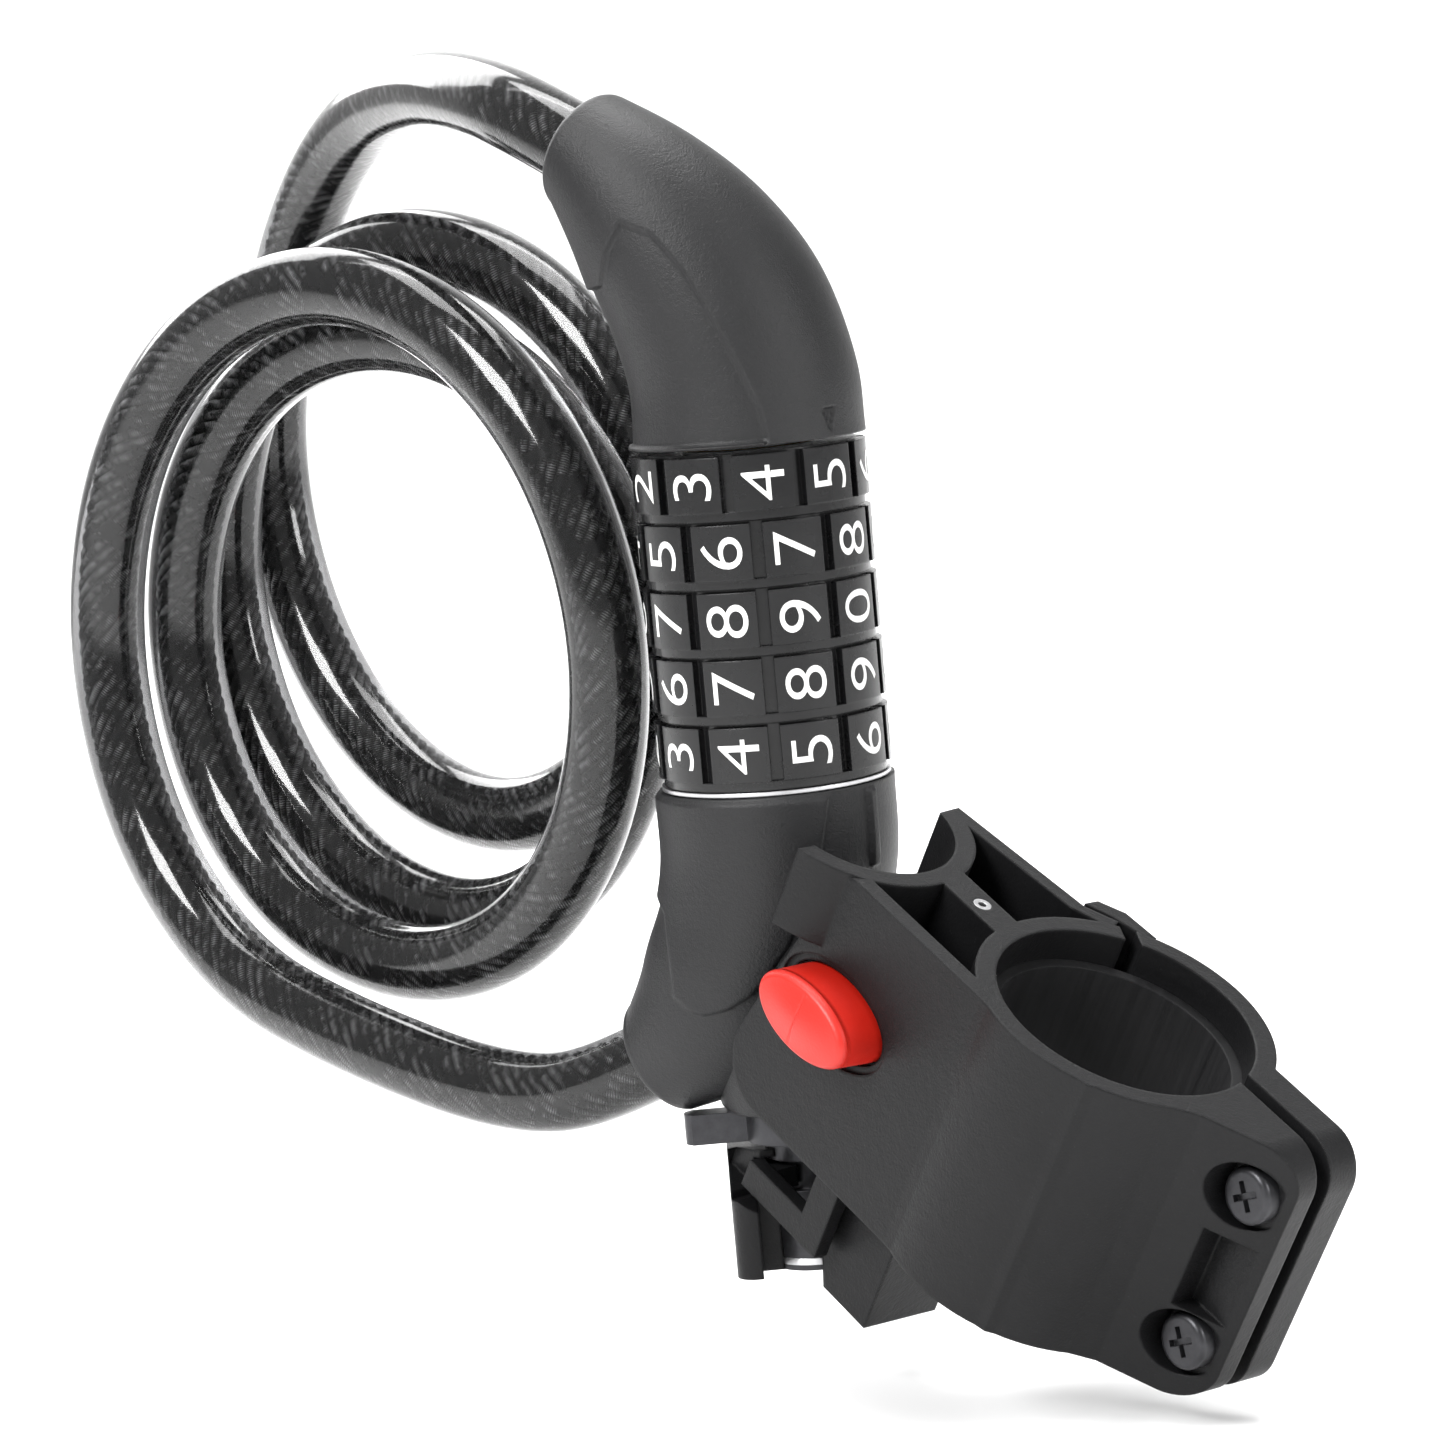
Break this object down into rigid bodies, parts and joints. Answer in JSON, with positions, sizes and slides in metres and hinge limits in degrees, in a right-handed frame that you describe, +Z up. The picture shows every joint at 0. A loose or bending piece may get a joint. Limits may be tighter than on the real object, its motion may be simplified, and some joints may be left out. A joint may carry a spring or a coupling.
{
  "type": "coiled cable combination lock",
  "caption": "self-coiling cable lock with numbered dials and a pull-out bolt, docked in a round-tube clamp bracket with a push-button release",
  "frame": {"origin": "the middle of the bracket's round bore, on its axis, halfway along it", "axes": "+Z up along the lock's own axis, through the dials; +X to the right and +Y away, seen from the side the numbers face"},
  "size_m": [0.1827, 0.193, 0.1898],
  "materials": {
    "bracket_nylon": "moulded black nylon with a fine spark texture, shinier on worn edges",
    "boot_skin": "satin soft-touch black",
    "dial_gloss": "glossy black with printed white numbers",
    "clear_jacket": "glossy smoke-tinted clear vinyl over the rope",
    "red_plastic": "satin red",
    "liner_rubber": "dull dark rubber",
    "zinc_core": null,
    "bare_steel": "bright steel",
    "black_steel": "black oxide",
    "brass_sleeve": "machined brass"
  },
  "bodies": {
    "bracket": {"bracket_front": "bracket_nylon", "web_rivet": "bare_steel", "clamp_strap": "bracket_nylon", "clamp_screws": "black_steel", "clamp_nuts": "bare_steel", "clamp_liner": "liner_rubber", "receiver": "bracket_nylon", "latch_pin": "bare_steel"},
    "button": {"release_button": "red_plastic", "button_spring": "bare_steel"},
    "latch": {"latch_lever": "bracket_nylon"},
    "lock_body": {"lower_boot": "boot_skin", "lower_core": "zinc_core", "barrel": "zinc_core", "click_spring": "bare_steel", "base_ring": "bare_steel", "retaining_nut": "bare_steel", "wave_washer": "bare_steel", "lower_ferrule": "bare_steel", "cable_jacket": "clear_jacket", "wire_rope": "bare_steel", "mount_foot": "black_steel", "foot_rings": "bare_steel", "foot_screw": "black_steel"},
    "bolt_end": {"upper_boot": "boot_skin", "upper_core": "zinc_core", "bolt": "bare_steel", "upper_ferrule": "bare_steel"},
    "dial_1_body": {"dial_1": "dial_gloss", "code_sleeve_1": "brass_sleeve"},
    "dial_2_body": {"dial_2": "dial_gloss", "code_sleeve_2": "brass_sleeve"},
    "dial_3_body": {"dial_3": "dial_gloss", "code_sleeve_3": "brass_sleeve"},
    "dial_4_body": {"dial_4": "dial_gloss", "code_sleeve_4": "brass_sleeve"},
    "dial_5_body": {"dial_5": "dial_gloss", "code_sleeve_5": "brass_sleeve"}
  },
  "joints": [
    {"name": "button_slide", "type": "slide", "parent": "bracket", "child": "button", "axis": [0.7604, 0.648, -0.043], "range_m": [0, 0.003], "stiffness_N_per_m": 600, "springref_m": -0.002, "deforming": ["button_spring"]},
    {"name": "latch_pivot", "type": "hinge", "parent": "bracket", "child": "latch", "pos_m": [-0.03127, 0.02141, -0.00477], "axis": [-0.5364, 0.664, 0.5208], "range_deg": [0, 7.1]},
    {"name": "lock_swivel", "type": "hinge", "parent": "bracket", "child": "lock_body", "pos_m": [-0.036, 0.0436, -0.015], "axis": [0, 0, 1], "range_deg": [-20, 20]},
    {"name": "bolt_pull", "type": "slide", "parent": "lock_body", "child": "bolt_end", "axis": [0, 0, 1], "range_m": [0, 0.058], "deforming": ["cable_jacket", "wire_rope"]},
    {"name": "dial_1_turn", "type": "hinge", "parent": "lock_body", "child": "dial_1_body", "pos_m": [-0.036, 0.0436, 0.0902], "axis": [0, 0, 1], "continuous": true},
    {"name": "dial_2_turn", "type": "hinge", "parent": "lock_body", "child": "dial_2_body", "pos_m": [-0.036, 0.0436, 0.0806], "axis": [0, 0, 1], "continuous": true},
    {"name": "dial_3_turn", "type": "hinge", "parent": "lock_body", "child": "dial_3_body", "pos_m": [-0.036, 0.0436, 0.071], "axis": [0, 0, 1], "continuous": true},
    {"name": "dial_4_turn", "type": "hinge", "parent": "lock_body", "child": "dial_4_body", "pos_m": [-0.036, 0.0436, 0.0614], "axis": [0, 0, 1], "continuous": true},
    {"name": "dial_5_turn", "type": "hinge", "parent": "lock_body", "child": "dial_5_body", "pos_m": [-0.036, 0.0436, 0.0518], "axis": [0, 0, 1], "continuous": true}
  ],
  "couplings": [
    {"joint": "latch_pivot", "follows": "button_slide", "rad_per_m": 41}
  ]
}
